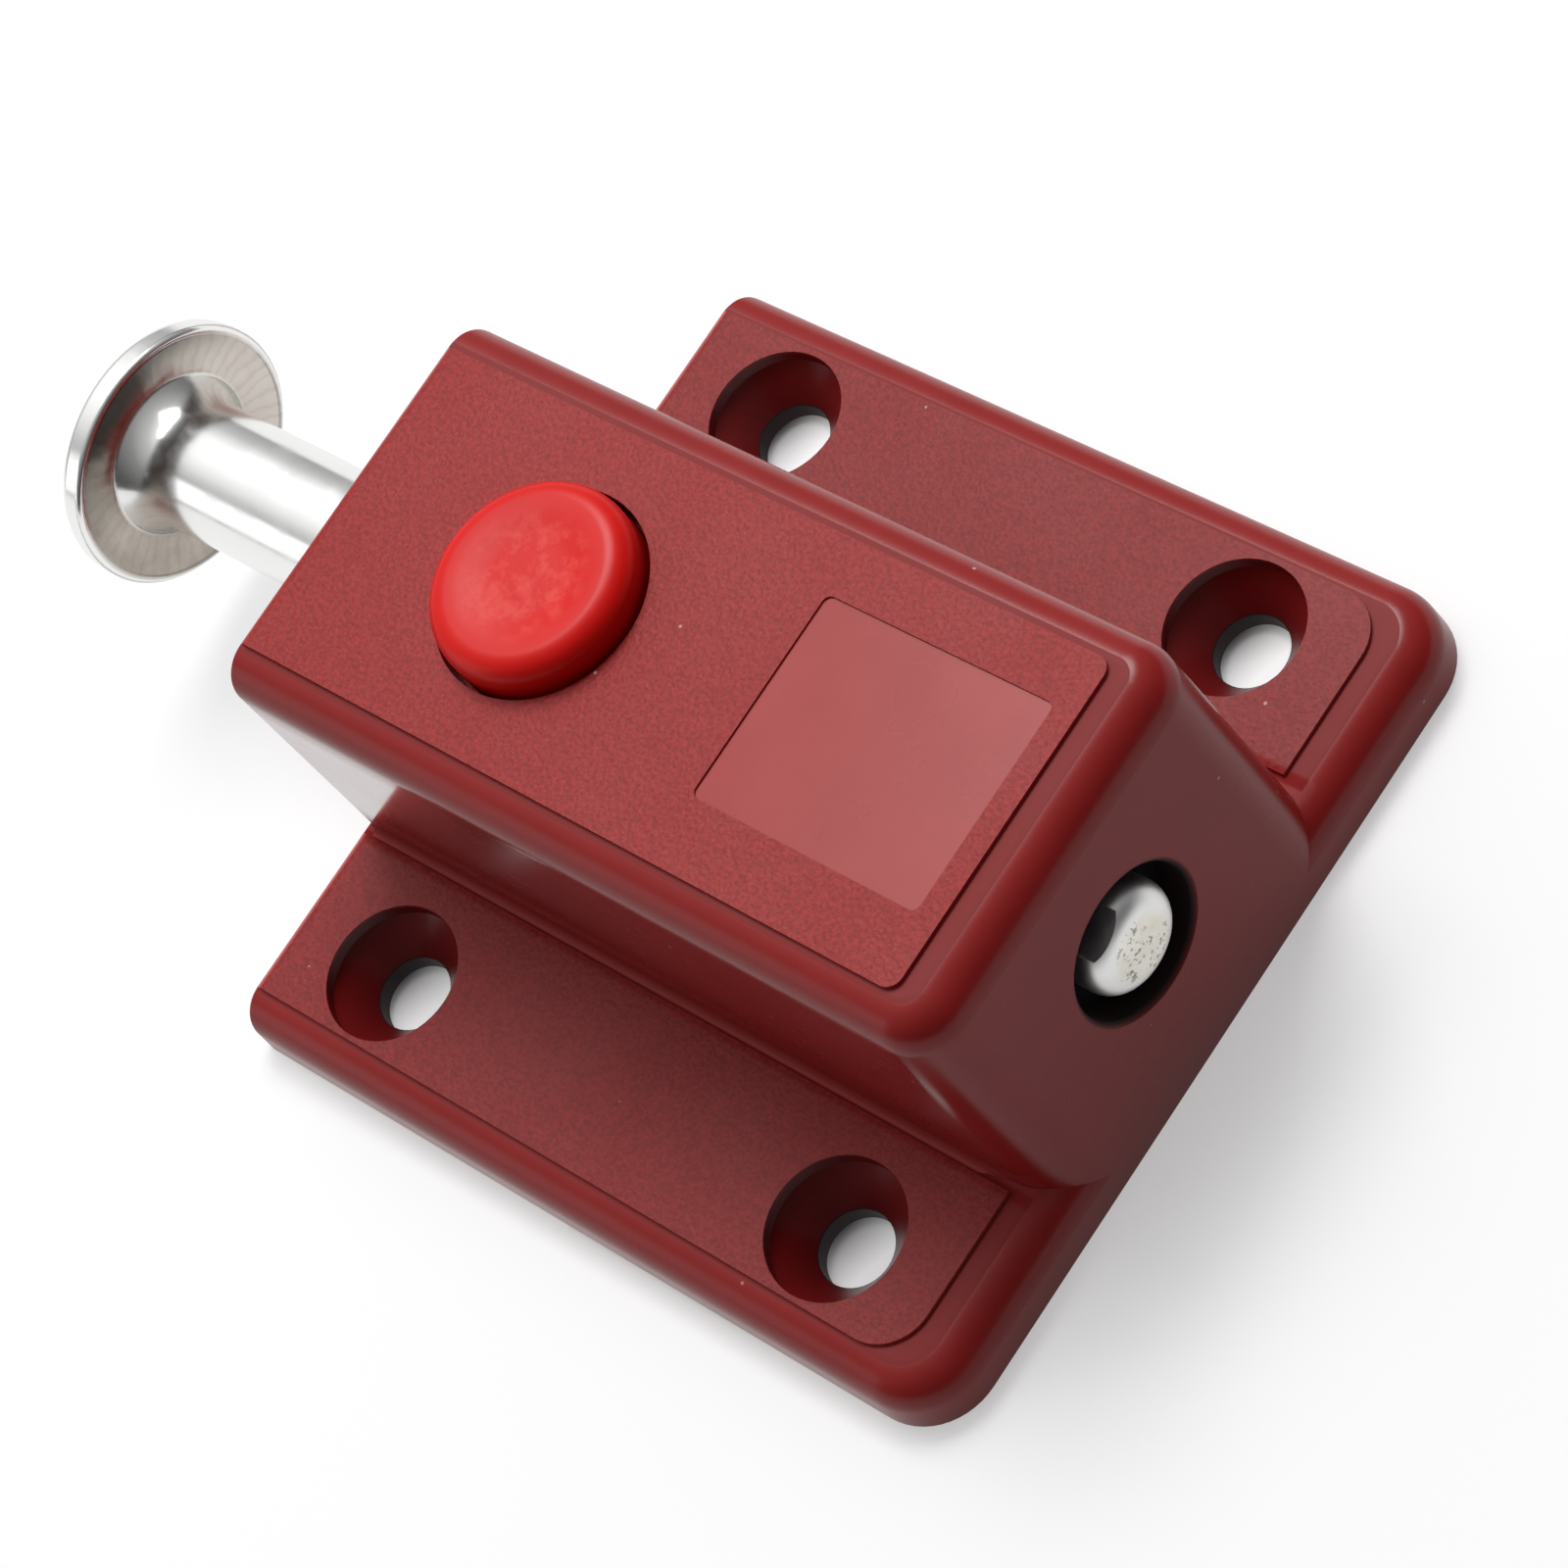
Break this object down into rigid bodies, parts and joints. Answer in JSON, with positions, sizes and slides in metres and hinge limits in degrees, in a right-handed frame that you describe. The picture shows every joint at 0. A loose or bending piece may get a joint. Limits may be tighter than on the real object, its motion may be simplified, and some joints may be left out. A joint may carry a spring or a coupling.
{
  "type": "push-button spring bolt latch",
  "caption": "Surface-mount spring bolt for cupboard doors: red-brown moulded housing, bright-metal bolt with a round knob, red release button",
  "frame": {"origin": "middle of the four screw holes, on the mounting face", "axes": "+X along the bolt towards its tip, +Y across the flanges, +Z off the mounting face towards the button"},
  "size_m": [0.0759, 0.0524, 0.0242],
  "materials": {
    "housing_plastic": "red-brown moulded plastic, polished borders and finely grained panels",
    "cover_plastic": "red-brown moulded plastic, satin",
    "screw_steel": "zinc-plated steel",
    "bolt_metal": "bright plated metal, polished, with fine turning lines",
    "spring_steel": "drawn spring steel",
    "washer_steel": "zinc-plated steel",
    "guide_plastic": "black moulded plastic",
    "button_plastic": "bright red moulded plastic, semi-gloss"
  },
  "bodies": {
    "housing": {"housing": "housing_plastic", "base_cover": "cover_plastic", "cover_screws": "screw_steel", "guide_washer": "guide_plastic", "return_spring": "spring_steel", "latch_spring_near": "spring_steel", "latch_spring_far": "spring_steel"},
    "bolt": {"bolt": "bolt_metal", "retaining_clip": "spring_steel", "clip_washer": "washer_steel"},
    "release_button": {"release_button": "button_plastic", "latch_fork": "washer_steel"}
  },
  "joints": [
    {"name": "bolt_slide", "type": "slide", "parent": "housing", "child": "bolt", "axis": [1, 0, 0], "range_m": [0, 0.0185], "stiffness_N_per_m": 150, "springref_m": -0.01, "deforming": ["return_spring"]},
    {"name": "button_press", "type": "slide", "parent": "housing", "child": "release_button", "axis": [0, 0, 1], "range_m": [-0.0015, 0], "stiffness_N_per_m": 400, "springref_m": 0.002, "deforming": ["latch_spring_near", "latch_spring_far"]}
  ]
}
